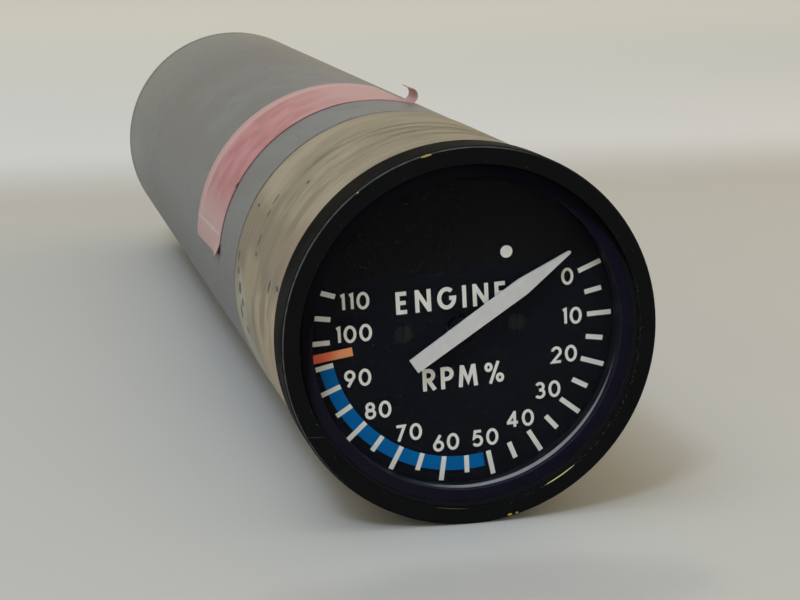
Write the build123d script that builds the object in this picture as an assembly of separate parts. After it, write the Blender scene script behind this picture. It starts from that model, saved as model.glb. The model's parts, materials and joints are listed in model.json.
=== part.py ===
from build123d import *
import math
import os

# Aircraft tachometer: a 2 inch round panel instrument in a long clamp-mounted case.
# Millimetres. Origin on the case's axis at the rear face of the bezel, which meets the panel.
# +X is to the right and +Z is up on the dial, and +Y runs into the instrument.

# Case and bezel
SEAT_R = 25.4                # radius of the 2.000 inch clamp seat
SEAT_LENGTH = 37.0
CASE_LENGTH = 203.3          # from the bezel's rear face to the back of the end plate
SHOULDER = 0.4               # how far the bezel stands out round the seat
BEZEL_DEPTH = 5.7            # how far the bezel stands in front of the panel
BEZEL_RIM = 2.4              # width of the bezel's face
BEZEL_LIP = 0.5              # thickness of the lip in front of the glass
BEZEL_CHAMFER = 0.25
THREAD_STEP = 0.85           # from the seat down to the thread under the bezel
CASE_WALL = 2.1
CAN_STEP = 0.1               # from the seat down to the can
CAN_WALL = 0.9
CAN_SPIGOT_LENGTH = 6.0
GASKET = 0.6                 # flat gaskets at both ends of the can
GASKET_INSET = 0.4           # how far a gasket lies below the can, so that a groove shows
SLIP = 0.1                   # clearance of a piece that slides into another
SNUG = 0.02                  # clearance of a piece that is pressed or screwed home
RUNNING = 0.04               # radial clearance of a turning shaft

# Glass and the rings between it and the dial
GLASS = 1.6
SEAL = 0.5
SEAL_WIDTH = 1.35
MASK = 0.3
MASK_RIM = 1.9               # from the case's bore in to the opening that frames the dial
REFLECTOR = 2.3
DIAL_RING = 2.3
DIAL_RIM = 1.3               # width of the ring that clamps the dial
DIAL = 0.8
DIAL_SCREW_X = 8.0

# Pointer
POINTER_REST = 31.05         # degrees up from +X: the pointer rests 11 degrees short of zero
POINTER_TIP = 18.2
POINTER_TAIL = 8.3
POINTER_TAPER = 8.1
POINTER_TAIL_WIDTH = 2.1
POINTER_WIDTH = 2.4
POINTER_POINT = 0.4
POINTER_THICK = 0.4
POINTER_HEIGHT = 1.6         # from the dial to the pointer's front
HUB_R = 2.0
HUB_GAP = 0.25               # between the turning hub and the dial
TRAVEL = 235.0               # degrees from the lower stop to the upper one, clockwise

# Movement frame
PLATE = 2.0
PLATE_GAP = 12.0             # between the front and back plates
LEDGE = 2.9                  # width of the ledge in the case that carries the movement
PILLAR_FLATS = 4.0
PILLAR_SPIGOT_R = 1.2
PILLAR_INSET = 2.5           # from the back plate's edge to a pillar
SCREW_R = 0.8
HEAD_R = 1.5
HEAD = 1.0
COUNTERSINK_R = 1.25
COUNTERSINK = 0.5
SLOT_WIDTH = 0.35
SLOT_DEPTH = 0.25
BEARING_R = 3.0
BEARING_FLANGE_R = 3.6
BEARING_FLANGE = 0.5
SPINDLE_R = 1.0
SPINDLE_END = 1.0            # how far the spindle stands out behind the back plate

# Gear train: one module for all three wheels
MODULE = 0.4
PRESSURE = math.radians(20)
ADDENDUM = 0.95              # in modules
DEDENDUM = 1.25
SPINDLE_TEETH = 40
POT_TEETH = 28
PINION_TEETH = 15
BACKLASH = 0.06
GEAR_WIDTH = 1.6
GEAR_HUB = 2.6
GEAR_HUB_R = 3.0
PINION_HUB_R = 2.2
GEAR_CLEARANCE = 0.7         # from a wheel's boss to the bush behind it
SHAFT_END = 1.0              # how far a shaft stands out in front of its wheel
LIGHTENING_R = 1.3
LIGHTENING_CIRCLE = 5.0
LIGHTENING_HOLES = 4
LIGHTENING_TURN = 75.0       # degrees up from +X to the first hole
STOP_R = 0.6
STOP_INSET = 0.9             # from the roots of the teeth in to the stop pin
STOP_GAP = 0.1
STOP_ANGLE = 120.0           # where the stop pin stands at rest

# Follow-up potentiometer and servo motor
POT_R = 6.35
POT_LENGTH = 13.0
POT_SHAFT_R = 1.55
LUG_LENGTH = 3.0
LUG_WIDTH = 1.2
LUG = 0.4
BUSH_R = 3.0                 # threaded bush of the potentiometer and of the motor
BUSH = 3.2                   # how far it stands out of the back plate
NUT_FLATS = 8.0
NUT = 1.8
MOTOR_R = 5.85
MOTOR_LENGTH = 38.0
MOTOR_CHAMFER = 1.5
GEARHEAD_R = 6.5
GEARHEAD_LENGTH = 12.0

# Chassis behind the movement
RAIL_WIDTH = 8.0
RAIL_DEPTH = 5.0
RAIL_INSET = 0.8             # from the back plate's edge to a rail
TENON_WIDTH = 4.0
TENON_DEPTH = 2.4
BULKHEAD = 3.0
BULKHEAD_CLEARANCE = 0.5     # from the connector's flange to the bulkhead's hole
BOARD = 1.6
BOARD_GROOVE = 1.0
BOARD_X = 1.2                # from the middle to a board's inner face
BOARD_CLEARANCE = 7.9        # from the end of the motor to the boards
CAPACITOR = (8.0, 12.0, 12.0)
TRANSISTOR_R = 4.1
TRANSISTOR = 6.0
RESISTOR_R = 1.2
RESISTOR = 7.0
TRANSFORMER_LENGTH = 26.0
TRANSFORMER_STACK = 14.0
TRANSFORMER_LIMB = 8.0
TRANSFORMER_END = 5.0
TRANSFORMER_GAP = 6.0        # from the end of the boards to the core
WIRING_SPACE = 19.3          # from the core to the bulkhead

# Rear end
END_PLATE = 2.0
END_SPIGOT = 3.0
END_SCREW_INSET = 2.3        # from the bulkhead's edge to a screw
CONNECTOR_R = 9.525          # 3/4 inch coupling thread
CONNECTOR_WALL = 1.625
CONNECTOR_BARREL = 10.0
PANEL_THREAD_STEP = 0.375    # from the coupling thread up to the thread of the connector's nut
CONNECTOR_RIM = 2.1          # width of the flange, and of the nut across its flats
CONNECTOR_FLANGE = 2.0
CONNECTOR_SEAL = 0.5
CONNECTOR_NUT = 3.0
CONNECTOR_RECESS = 1.5
CONTACT_R = 0.8
CONTACT_BORE_R = 0.5
CONTACT_BORE = 8.0
CONTACT_CIRCLE = 4.8
CONTACT_COUNT = 5
CONTACT_TAIL = 5.0

# Tape on the can
TAPE = 0.12
TAPE_START = 53.4
TAPE_WIDTH = 26.1
TAPE_ANGLES = (62.0, 175.0, 177.2)   # upper end, then the low end at its front and rear edges

# Radii that follow from the sizes above
BEZEL_R = SEAT_R + SHOULDER
BEZEL_OPENING_R = BEZEL_R - BEZEL_RIM
SPIGOT_R = SEAT_R - THREAD_STEP
CASE_BORE_R = SEAT_R - CASE_WALL
CAN_R = SEAT_R - CAN_STEP
CAN_BORE_R = CAN_R - CAN_WALL
GLASS_R = SPIGOT_R - SLIP
SEAL_INNER_R = GLASS_R - SEAL_WIDTH
RING_R = CASE_BORE_R - SLIP
MASK_R = CASE_BORE_R - MASK_RIM
DIAL_RING_R = RING_R - DIAL_RIM
LEDGE_R = CASE_BORE_R - LEDGE
BACK_PLATE_R = LEDGE_R - SLIP
PILLAR_CIRCLE = BACK_PLATE_R - PILLAR_INSET
LOCATOR_CIRCLE = (LEDGE_R + RING_R) / 2
RAIL_TOP = BACK_PLATE_R - RAIL_INSET
RAIL_BOTTOM = RAIL_TOP - RAIL_DEPTH
SPINDLE_ROOT_R = MODULE * (SPINDLE_TEETH / 2 - DEDENDUM)
STOP_CIRCLE = SPINDLE_ROOT_R - STOP_INSET
PANEL_THREAD_R = CONNECTOR_R + PANEL_THREAD_STEP
CONNECTOR_BORE_R = CONNECTOR_R - CONNECTOR_WALL
CONNECTOR_FLANGE_R = PANEL_THREAD_R + CONNECTOR_RIM
BULKHEAD_HOLE_R = CONNECTOR_FLANGE_R + BULKHEAD_CLEARANCE
END_SCREW_CIRCLE = BACK_PLATE_R - END_SCREW_INSET

# Places along the axis that follow from them
FACE = -BEZEL_DEPTH
GLASS_FRONT = FACE + BEZEL_LIP
GLASS_BACK = GLASS_FRONT + GLASS
SEAL_BACK = GLASS_BACK + SEAL
MASK_BACK = GLASS_BACK + MASK
REFLECTOR_BACK = MASK_BACK + REFLECTOR
DIAL_FRONT = REFLECTOR_BACK + DIAL_RING
DIAL_BACK = DIAL_FRONT + DIAL
PLATE_BACK = DIAL_BACK + PLATE
BACK_PLATE_FRONT = PLATE_BACK + PLATE_GAP
BACK_PLATE_BACK = BACK_PLATE_FRONT + PLATE
POINTER_FRONT = DIAL_FRONT - POINTER_HEIGHT
POINTER_BACK = POINTER_FRONT + POINTER_THICK
GEAR_FRONT = BACK_PLATE_FRONT - BUSH - GEAR_CLEARANCE - GEAR_HUB - GEAR_WIDTH
GEAR_BACK = GEAR_FRONT + GEAR_WIDTH
SHAFT_FRONT = GEAR_FRONT - SHAFT_END
CAN_START = SEAT_LENGTH + GASKET
CAN_END = CASE_LENGTH - END_PLATE - GASKET
END_PLATE_FRONT = CASE_LENGTH - END_PLATE
BULKHEAD_BACK = END_PLATE_FRONT - END_SPIGOT
BULKHEAD_FRONT = BULKHEAD_BACK - BULKHEAD
CORE_START = BULKHEAD_FRONT - WIRING_SPACE - TRANSFORMER_LENGTH
BOARD_START = BACK_PLATE_BACK + MOTOR_LENGTH + BOARD_CLEARANCE
BOARD_END = CORE_START - TRANSFORMER_GAP
SHELL_FRONT = BULKHEAD_BACK - CONNECTOR_SEAL - CONNECTOR_FLANGE
BARREL_START = CASE_LENGTH + CONNECTOR_NUT
BARREL_END = BARREL_START + CONNECTOR_BARREL
INSERT_END = BARREL_END - CONNECTOR_RECESS

# Places round it and across it
POT_X = -MODULE * (SPINDLE_TEETH + POT_TEETH) / 2
MOTOR_X = MODULE * (SPINDLE_TEETH + PINION_TEETH) / 2
DIAL_SCREW_PLACES = (-DIAL_SCREW_X, DIAL_SCREW_X)
PILLAR_ANGLES = (45, 135, 225, 315)
END_SCREW_ANGLES = (15, 135, 255)


def turned(outline, x=0.0, z=0.0):
    """A lathe-turned solid: corners (radius, y) swung round a line along Y at x, z."""
    corners = [(radius, y, 0) for radius, y in outline]
    return Pos(x, 0, z) * revolve(make_face(Polyline(*corners, close=True)), Axis.Y)


def tube(inner, outer, start, end, x=0.0, z=0.0):
    """A plain ring or tube between two places on the axis."""
    return turned([(inner, start), (outer, start), (outer, end), (inner, end)], x, z)


def rod(radius, start, end, x=0.0, z=0.0):
    """A plain round bar along Y."""
    return turned([(0, start), (radius, start), (radius, end), (0, end)], x, z)


def on_circle(radius, degrees):
    """X and Z of a point on a circle round the axis, counted up from +X."""
    angle = math.radians(degrees)
    return radius * math.cos(angle), radius * math.sin(angle)


def pressed(sketch, start, end):
    """A flat shape drawn as seen from the front, X right and Z up, made solid along Y."""
    view = Plane(origin=(0, end, 0), x_dir=(1, 0, 0), z_dir=(0, -1, 0))
    return extrude(view * sketch, amount=end - start)


def block(x0, x1, y0, y1, z0, z1):
    """A plain block from its six faces."""
    middle = Pos((x0 + x1) / 2, (y0 + y1) / 2, (z0 + z1) / 2)
    return middle * Box(abs(x1 - x0), abs(y1 - y0), abs(z1 - z0))


def flush_screw(front, length, x, z):
    """A slotted countersunk screw with its head flush at the place front."""
    screw = turned([
        (0, front),
        (COUNTERSINK_R, front),
        (SCREW_R, front + COUNTERSINK),
        (SCREW_R, front + length),
        (0, front + length),
    ], x, z)
    left, right = x - SLOT_WIDTH / 2, x + SLOT_WIDTH / 2
    low, high = z - COUNTERSINK_R, z + COUNTERSINK_R
    return screw - block(left, right, front, front + SLOT_DEPTH, low, high)


def flush_hole(front, depth, x, z):
    """The countersunk hole that a flush screw sits in."""
    return turned([
        (0, front),
        (COUNTERSINK_R + SNUG, front),
        (SCREW_R + SNUG, front + COUNTERSINK),
        (SCREW_R + SNUG, front + depth),
        (0, front + depth),
    ], x, z)


def cheese_screw(seat, length, x, z):
    """A slotted cheese-head screw: its head stands behind seat and its shank runs to the front."""
    top = seat + HEAD
    screw = rod(HEAD_R, seat, top, x, z) + rod(SCREW_R, seat - length, seat, x, z)
    low, high = z - SLOT_WIDTH / 2, z + SLOT_WIDTH / 2
    return screw - block(x - HEAD_R, x + HEAD_R, top - SLOT_DEPTH, top, low, high)


def screw_hole(start, end, x, z):
    """A plain hole for a screw's shank."""
    return rod(SCREW_R + SNUG, start, end, x, z)


def hexagon(flats, x=0.0, z=0.0):
    """A hexagon of the given size across its flats."""
    return Pos(x, z) * RegularPolygon(flats / 2, 6, major_radius=False)


def involute(angle):
    """The involute function, tan(angle) minus angle."""
    return math.tan(angle) - angle


def gear(teeth, front, width, bore_r, x=0.0, first=0.0):
    """An involute spur gear; a tooth is centred first degrees up from +X."""
    pitch_r = MODULE * teeth / 2
    base_r = pitch_r * math.cos(PRESSURE)
    tip_r = pitch_r + ADDENDUM * MODULE
    root_r = pitch_r - DEDENDUM * MODULE
    half_pitch = math.pi / teeth
    half_tooth = half_pitch / 2 - BACKLASH / 2 / pitch_r

    def flank(radius):
        rolled = math.acos(min(1.0, base_r / radius))
        return half_tooth + involute(PRESSURE) - involute(rolled)

    start_r = max(base_r, root_r)
    if start_r - root_r < MODULE / 10:
        start_r = root_r = base_r
    radii = (start_r, pitch_r, tip_r)
    corners = []
    for tooth in range(teeth):
        centre = math.radians(first) + 2 * half_pitch * tooth
        rising = [(radius, centre - flank(radius)) for radius in radii]
        falling = [(radius, centre + flank(radius)) for radius in reversed(radii)]
        if start_r > root_r:
            rising.insert(0, (root_r, rising[0][1]))
            falling.append((root_r, falling[-1][1]))
        corners += rising + falling
    outline = Polyline(*[(x + r * math.cos(a), r * math.sin(a)) for r, a in corners], close=True)
    return pressed(make_face(outline), front, front + width) - rod(bore_r, front, front + width, x)


def bezel():
    """The black bezel ring, with a chamfered front edge and a lip in front of the glass."""
    bore = SPIGOT_R + SNUG
    return turned([
        (BEZEL_OPENING_R, FACE),
        (BEZEL_R - BEZEL_CHAMFER, FACE),
        (BEZEL_R, FACE + BEZEL_CHAMFER),
        (BEZEL_R, 0),
        (bore, 0),
        (bore, GLASS_FRONT),
        (BEZEL_OPENING_R, GLASS_FRONT),
    ])


def front_case():
    """The turned front case: a threaded spigot, the clamp seat, an inner ledge and a rear spigot."""
    bore = CASE_BORE_R
    rear_spigot = CAN_BORE_R - SLIP
    case = turned([
        (bore, SEAL_BACK),
        (SPIGOT_R, SEAL_BACK),
        (SPIGOT_R, 0),
        (SEAT_R, 0),
        (SEAT_R, SEAT_LENGTH),
        (rear_spigot, SEAT_LENGTH),
        (rear_spigot, SEAT_LENGTH + CAN_SPIGOT_LENGTH),
        (bore, SEAT_LENGTH + CAN_SPIGOT_LENGTH),
        (bore, PLATE_BACK + PLATE),
        (LEDGE_R, PLATE_BACK + PLATE),
        (LEDGE_R, PLATE_BACK),
        (bore, PLATE_BACK),
    ])
    return case - locator_hole(PLATE_BACK, PLATE_BACK + PLATE)


def locator_hole(start, end):
    """The hole for the locating pin, above the axis."""
    return screw_hole(start, end, 0, LOCATOR_CIRCLE)


def locating_pin():
    """The pin in the case's ledge that keeps the movement upright."""
    return rod(SCREW_R, PLATE_BACK - PLATE / 2, PLATE_BACK + PLATE, 0, LOCATOR_CIRCLE)


def can():
    """The drawn can that covers the movement."""
    return tube(CAN_BORE_R, CAN_R, CAN_START, CAN_END)


def can_gasket(start):
    """A flat rubber gasket under one end of the can."""
    return tube(CAN_BORE_R, CAN_R - GASKET_INSET, start, start + GASKET)


def glass():
    """The plane cover glass."""
    return rod(GLASS_R, GLASS_FRONT, GLASS_BACK)


def glass_seal():
    """The rubber seal between the glass and the case's front edge."""
    return tube(SEAL_INNER_R, GLASS_R, GLASS_BACK, SEAL_BACK)


def mask_ring():
    """The thin black washer whose opening frames the dial."""
    return tube(MASK_R, SEAL_INNER_R - SLIP, GLASS_BACK, MASK_BACK)


def reflector_ring():
    """The bright ring behind the mask, stepped to pass inside the seal."""
    step_r = SEAL_INNER_R - SLIP
    return turned([
        (MASK_R, MASK_BACK),
        (step_r, MASK_BACK),
        (step_r, SEAL_BACK),
        (RING_R, SEAL_BACK),
        (RING_R, REFLECTOR_BACK),
        (MASK_R, REFLECTOR_BACK),
    ])


def dial_ring():
    """The dark ring that clamps the edge of the dial."""
    return tube(DIAL_RING_R, RING_R, REFLECTOR_BACK, DIAL_FRONT)


def dial():
    """The dial disc, with the spindle's hole and two countersunk screw holes."""
    disc = tube(SPINDLE_R + HUB_GAP, RING_R, DIAL_FRONT, DIAL_BACK)
    for x in DIAL_SCREW_PLACES:
        disc -= flush_hole(DIAL_FRONT, DIAL, x, 0)
    return disc


def dial_screws():
    """Two flush screws that hold the dial on the front plate."""
    length = DIAL + PLATE - SLIP
    return [flush_screw(DIAL_FRONT, length, x, 0) for x in DIAL_SCREW_PLACES]


def pointer():
    """The flat pointer: a square tail that widens to a shoulder and runs out to a fine tip."""
    shoulder = POINTER_TIP - POINTER_TAPER
    half_tail = POINTER_TAIL_WIDTH / 2
    half_shoulder = POINTER_WIDTH / 2
    half_point = POINTER_POINT / 2
    outline = Polyline(
        (-POINTER_TAIL, -half_tail),
        (shoulder, -half_shoulder),
        (POINTER_TIP - half_point, -half_point),
        (POINTER_TIP, 0),
        (POINTER_TIP - half_point, half_point),
        (shoulder, half_shoulder),
        (-POINTER_TAIL, half_tail),
        close=True,
    )
    return pressed(Rot(0, 0, POINTER_REST) * make_face(outline), POINTER_FRONT, POINTER_BACK)


def pointer_hub():
    """The black hub that carries the pointer on the end of the spindle."""
    hub = rod(HUB_R, POINTER_BACK, DIAL_FRONT - HUB_GAP)
    return hub - rod(SPINDLE_R + SNUG, POINTER_BACK + SLIP, DIAL_FRONT)


def front_plate():
    """The front plate of the movement, which the bezel clamps against the case's ledge."""
    plate = rod(RING_R, DIAL_BACK, PLATE_BACK)
    plate -= rod(BEARING_R + SNUG, DIAL_BACK, PLATE_BACK)
    plate -= locator_hole(PLATE_BACK - PLATE / 2, PLATE_BACK)
    for x in DIAL_SCREW_PLACES:
        plate -= screw_hole(DIAL_BACK, PLATE_BACK, x, 0)
    for angle in PILLAR_ANGLES:
        plate -= rod(PILLAR_SPIGOT_R + SNUG, DIAL_BACK, PLATE_BACK, *on_circle(PILLAR_CIRCLE, angle))
    for angle in stop_angles():
        x, z = on_circle(STOP_CIRCLE, angle)
        plate -= rod(STOP_R + SNUG, DIAL_BACK + PLATE / 2, PLATE_BACK, x, z)
    return plate


def pillars():
    """Four hexagonal pillars between the plates, riveted through both."""
    posts = []
    for angle in PILLAR_ANGLES:
        x, z = on_circle(PILLAR_CIRCLE, angle)
        post = pressed(hexagon(PILLAR_FLATS, x, z), PLATE_BACK, BACK_PLATE_FRONT)
        posts.append(post + rod(PILLAR_SPIGOT_R, DIAL_BACK, BACK_PLATE_BACK, x, z))
    return posts


def back_plate():
    """The back plate, which carries the motor, the potentiometer and the chassis rails."""
    plate = rod(BACK_PLATE_R, BACK_PLATE_FRONT, BACK_PLATE_BACK)
    plate -= rod(BEARING_R + SNUG, BACK_PLATE_FRONT, BACK_PLATE_BACK)
    for x in (POT_X, MOTOR_X):
        plate -= rod(BUSH_R + SNUG, BACK_PLATE_FRONT, BACK_PLATE_BACK, x)
    for angle in PILLAR_ANGLES:
        place = on_circle(PILLAR_CIRCLE, angle)
        plate -= rod(PILLAR_SPIGOT_R + SNUG, BACK_PLATE_FRONT, BACK_PLATE_BACK, *place)
    for side in (1, -1):
        plate -= tenon(side, BACK_PLATE_FRONT, BACK_PLATE_BACK, SNUG)
    return plate


def bearing(start, end, flange_front):
    """A flanged bearing for the spindle, its flange on the inner side of its plate."""
    flange_back = flange_front + BEARING_FLANGE
    ring = rod(BEARING_R, start, end) + rod(BEARING_FLANGE_R, flange_front, flange_back)
    return ring - rod(SPINDLE_R + RUNNING, min(start, flange_front), max(end, flange_back))


def spindle():
    """The spindle, from the pointer's hub through both bearings."""
    return rod(SPINDLE_R, POINTER_BACK + SLIP + SNUG, BACK_PLATE_BACK + SPINDLE_END)


def hubbed_gear(teeth, bore_r, hub_r, x=0.0, first=0.0):
    """A gear with its boss behind it."""
    wheel = gear(teeth, GEAR_FRONT, GEAR_WIDTH, bore_r, x, first)
    return wheel + tube(bore_r, hub_r, GEAR_BACK, GEAR_BACK + GEAR_HUB, x)


def spindle_gear():
    """The large wheel on the spindle, lightened by a ring of holes."""
    wheel = hubbed_gear(SPINDLE_TEETH, SPINDLE_R + SNUG, GEAR_HUB_R)
    for hole in range(LIGHTENING_HOLES):
        x, z = on_circle(LIGHTENING_CIRCLE, LIGHTENING_TURN + 360 / LIGHTENING_HOLES * hole)
        wheel -= rod(LIGHTENING_R, GEAR_FRONT, GEAR_BACK, x, z)
    x, z = on_circle(STOP_CIRCLE, STOP_ANGLE)
    return wheel - rod(STOP_R + SNUG, GEAR_FRONT, GEAR_BACK, x, z)


def spindle_collar():
    """The collar that keeps the spindle in its rear bearing."""
    return tube(SPINDLE_R + SNUG, HUB_R, BACK_PLATE_BACK + SLIP, BACK_PLATE_BACK + SPINDLE_END)


def stop_angles():
    """Where the two stop posts stand: just clear of the pin at each end of the pointer's travel."""
    reach = math.degrees(2 * math.asin((STOP_R + STOP_GAP / 2) / STOP_CIRCLE))
    return STOP_ANGLE + reach, STOP_ANGLE - TRAVEL - reach


def stop_posts():
    """Two posts in the front plate that limit the pointer's travel."""
    posts = []
    for angle in stop_angles():
        x, z = on_circle(STOP_CIRCLE, angle)
        posts.append(rod(STOP_R, DIAL_BACK + PLATE / 2, GEAR_FRONT - SHAFT_END / 2, x, z))
    return posts


def stop_pin():
    """The pin in the spindle gear that meets the stop posts."""
    x, z = on_circle(STOP_CIRCLE, STOP_ANGLE)
    return rod(STOP_R, PLATE_BACK + PLATE / 2, GEAR_BACK, x, z)


def pot_gear():
    """The potentiometer's wheel, meshed with the spindle gear on its left."""
    gap_at_zero = 180 / POT_TEETH
    return hubbed_gear(POT_TEETH, POT_SHAFT_R + SNUG, GEAR_HUB_R, POT_X, gap_at_zero)


def pot_shaft():
    """The potentiometer's shaft."""
    return rod(POT_SHAFT_R, SHAFT_FRONT, BACK_PLATE_BACK + POT_LENGTH / 2, POT_X)


def pot_body():
    """The follow-up potentiometer, with its threaded bush and three solder lugs."""
    back = BACK_PLATE_BACK + POT_LENGTH
    body = rod(POT_R, BACK_PLATE_BACK, back, POT_X)
    body += rod(BUSH_R, BACK_PLATE_FRONT - BUSH, BACK_PLATE_BACK, POT_X)
    body -= rod(POT_SHAFT_R + RUNNING, BACK_PLATE_FRONT - BUSH, back - POT_LENGTH / 2 + SLIP, POT_X)
    for step in (-1, 0, 1):
        middle = step * POT_R / 2
        low, high = middle - LUG_WIDTH / 2, middle + LUG_WIDTH / 2
        body += block(POT_X - LUG / 2, POT_X + LUG / 2, back, back + LUG_LENGTH, low, high)
    return body


def bush_nut(x):
    """The hexagon nut on a threaded bush, against the front of the back plate."""
    front = BACK_PLATE_FRONT - NUT
    nut = pressed(hexagon(NUT_FLATS, x), front, BACK_PLATE_FRONT)
    return nut - rod(BUSH_R + SNUG, front, BACK_PLATE_FRONT, x)


def servo_motor():
    """The servo motor and its gearhead in one stepped housing, held by a threaded bush."""
    head_end = BACK_PLATE_BACK + GEARHEAD_LENGTH
    end = BACK_PLATE_BACK + MOTOR_LENGTH
    bore = SPINDLE_R + RUNNING
    return turned([
        (bore, BACK_PLATE_FRONT - BUSH),
        (BUSH_R, BACK_PLATE_FRONT - BUSH),
        (BUSH_R, BACK_PLATE_BACK),
        (GEARHEAD_R, BACK_PLATE_BACK),
        (GEARHEAD_R, head_end),
        (MOTOR_R, head_end),
        (MOTOR_R, end - MOTOR_CHAMFER),
        (MOTOR_R - MOTOR_CHAMFER, end),
        (0, end),
        (0, head_end + SLIP),
        (bore, head_end + SLIP),
    ], MOTOR_X)


def motor_shaft():
    """The gearhead's output shaft."""
    return rod(SPINDLE_R, SHAFT_FRONT, BACK_PLATE_BACK + GEARHEAD_LENGTH, MOTOR_X)


def motor_pinion():
    """The pinion on the gearhead's shaft, meshed with the spindle gear on its right."""
    gap_at_half_turn = 180 + 180 / PINION_TEETH
    return hubbed_gear(PINION_TEETH, SPINDLE_R + SNUG, PINION_HUB_R, MOTOR_X, gap_at_half_turn)


def cross_rod(radius, x0, x1, y, z):
    """A round bar along X."""
    middle = Pos((x0 + x1) / 2, y, z) * Rot(0, 90, 0)
    return middle * Cylinder(radius, abs(x1 - x0))


def tenon(side, start, end, margin=0.0):
    """The end of a chassis rail where it is riveted through a plate, or the slot for it."""
    half_width = TENON_WIDTH / 2 + margin
    middle = side * (RAIL_TOP - RAIL_DEPTH / 2)
    half_depth = TENON_DEPTH / 2 + margin
    return block(-half_width, half_width, start, end, middle - half_depth, middle + half_depth)


def chassis_rails():
    """Two bars from the back plate to the bulkhead, grooved for the circuit boards."""
    rails = []
    half = RAIL_WIDTH / 2
    for side in (1, -1):
        bottom, top = side * RAIL_BOTTOM, side * RAIL_TOP
        rail = block(-half, half, BACK_PLATE_BACK, BULKHEAD_FRONT, bottom, top)
        rail += tenon(side, BACK_PLATE_FRONT, BACK_PLATE_BACK)
        rail += tenon(side, BULKHEAD_FRONT, BULKHEAD_BACK)
        groove_top = side * (RAIL_BOTTOM + BOARD_GROOVE + SLIP)
        for board_side in (1, -1):
            inner = board_side * (BOARD_X - SNUG)
            outer = board_side * (BOARD_X + BOARD + SNUG)
            rail -= block(inner, outer, BOARD_START, BOARD_END, bottom, groove_top)
        rails.append(rail)
    return rails


def bulkhead():
    """The ring at the rear of the chassis that the end plate is screwed to."""
    ring = tube(BULKHEAD_HOLE_R, BACK_PLATE_R, BULKHEAD_FRONT, BULKHEAD_BACK)
    for side in (1, -1):
        ring -= tenon(side, BULKHEAD_FRONT, BULKHEAD_BACK, SNUG)
    for angle in END_SCREW_ANGLES:
        ring -= screw_hole(BULKHEAD_FRONT, BULKHEAD_BACK, *on_circle(END_SCREW_CIRCLE, angle))
    return ring


def board(side):
    """A circuit board in the rails' grooves, on the side where X has the given sign."""
    half_height = RAIL_BOTTOM + BOARD_GROOVE
    inner, outer = side * BOARD_X, side * (BOARD_X + BOARD)
    return block(inner, outer, BOARD_START, BOARD_END, -half_height, half_height)


def on_boards(make):
    """The same components on both boards: make is given the side and the board's outer face."""
    pieces = []
    for side in (1, -1):
        pieces += make(side, side * (BOARD_X + BOARD))
    return pieces


def capacitors():
    """Moulded block capacitors near the rear end of each board."""
    height, length, width = CAPACITOR

    def row(side, face):
        starts = (BOARD_END - 1.25 * length, BOARD_END - 2.5 * length)
        low = (side * RAIL_DEPTH - width) / 2
        return [block(face, face + side * height, y, y + length, low, low + width) for y in starts]
    return on_boards(row)


def transistors():
    """Transistors in round cans near the front end of each board."""
    def row(side, face):
        places = [BOARD_START + step * TRANSISTOR_R for step in (3, 7)]
        top, z = face + side * TRANSISTOR, -RAIL_BOTTOM / 2
        return [cross_rod(TRANSISTOR_R, face, top, y, z) for y in places]
    return on_boards(row)


def resistors():
    """Resistors standing across each board, above the transistors."""
    def row(side, face):
        places = [BOARD_START + step * RESISTOR for step in (2, 4)]
        x, z = face + side * RESISTOR_R, RAIL_BOTTOM / 2
        return [Pos(x, y, z) * Cylinder(RESISTOR_R, RESISTOR) for y in places]
    return on_boards(row)


def transformer_core():
    """The laminated core, held between the rails, with a window each side of its middle limb."""
    end = CORE_START + TRANSFORMER_LENGTH
    half = TRANSFORMER_STACK / 2
    core = block(-half, half, CORE_START, end, -RAIL_BOTTOM, RAIL_BOTTOM)
    for side in (1, -1):
        inner = side * TRANSFORMER_LIMB / 2
        outer = side * (RAIL_BOTTOM - TRANSFORMER_END)
        core -= block(-half, half, CORE_START + TRANSFORMER_END, end - TRANSFORMER_END, inner, outer)
    return core


def transformer_coil():
    """The winding round the core's middle limb, standing out on both sides of the stack."""
    start = CORE_START + TRANSFORMER_END + SLIP
    end = start + TRANSFORMER_LENGTH - 2 * TRANSFORMER_END - 2 * SLIP
    limb = TRANSFORMER_LIMB / 2 + SLIP
    reach = RAIL_BOTTOM - TRANSFORMER_END - SLIP
    wall = reach - limb
    half = TRANSFORMER_STACK / 2 + SLIP
    outline = RectangleRounded(2 * (half + wall), 2 * reach, wall * 0.8)
    window = Rectangle(2 * half, 2 * limb)
    return pressed(outline - window, start, end)


def end_plate():
    """The round end plate, with a spigot in the can and a hole for the connector."""
    hole = PANEL_THREAD_R + SLIP
    plate = turned([
        (hole, BULKHEAD_BACK),
        (CAN_BORE_R - SLIP, BULKHEAD_BACK),
        (CAN_BORE_R - SLIP, END_PLATE_FRONT),
        (CAN_R, END_PLATE_FRONT),
        (CAN_R, CASE_LENGTH),
        (hole, CASE_LENGTH),
    ])
    for angle in END_SCREW_ANGLES:
        plate -= screw_hole(BULKHEAD_BACK, CASE_LENGTH, *on_circle(END_SCREW_CIRCLE, angle))
    return plate


def end_screws():
    """Three cheese-head screws through the end plate into the bulkhead."""
    length = END_PLATE + END_SPIGOT + BULKHEAD - SLIP
    places = [on_circle(END_SCREW_CIRCLE, angle) for angle in END_SCREW_ANGLES]
    return [cheese_screw(CASE_LENGTH, length, x, z) for x, z in places]


def connector_seal():
    """The rubber ring between the connector's flange and the end plate."""
    return tube(PANEL_THREAD_R + SLIP, CONNECTOR_FLANGE_R, BULKHEAD_BACK - CONNECTOR_SEAL, BULKHEAD_BACK)


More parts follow.
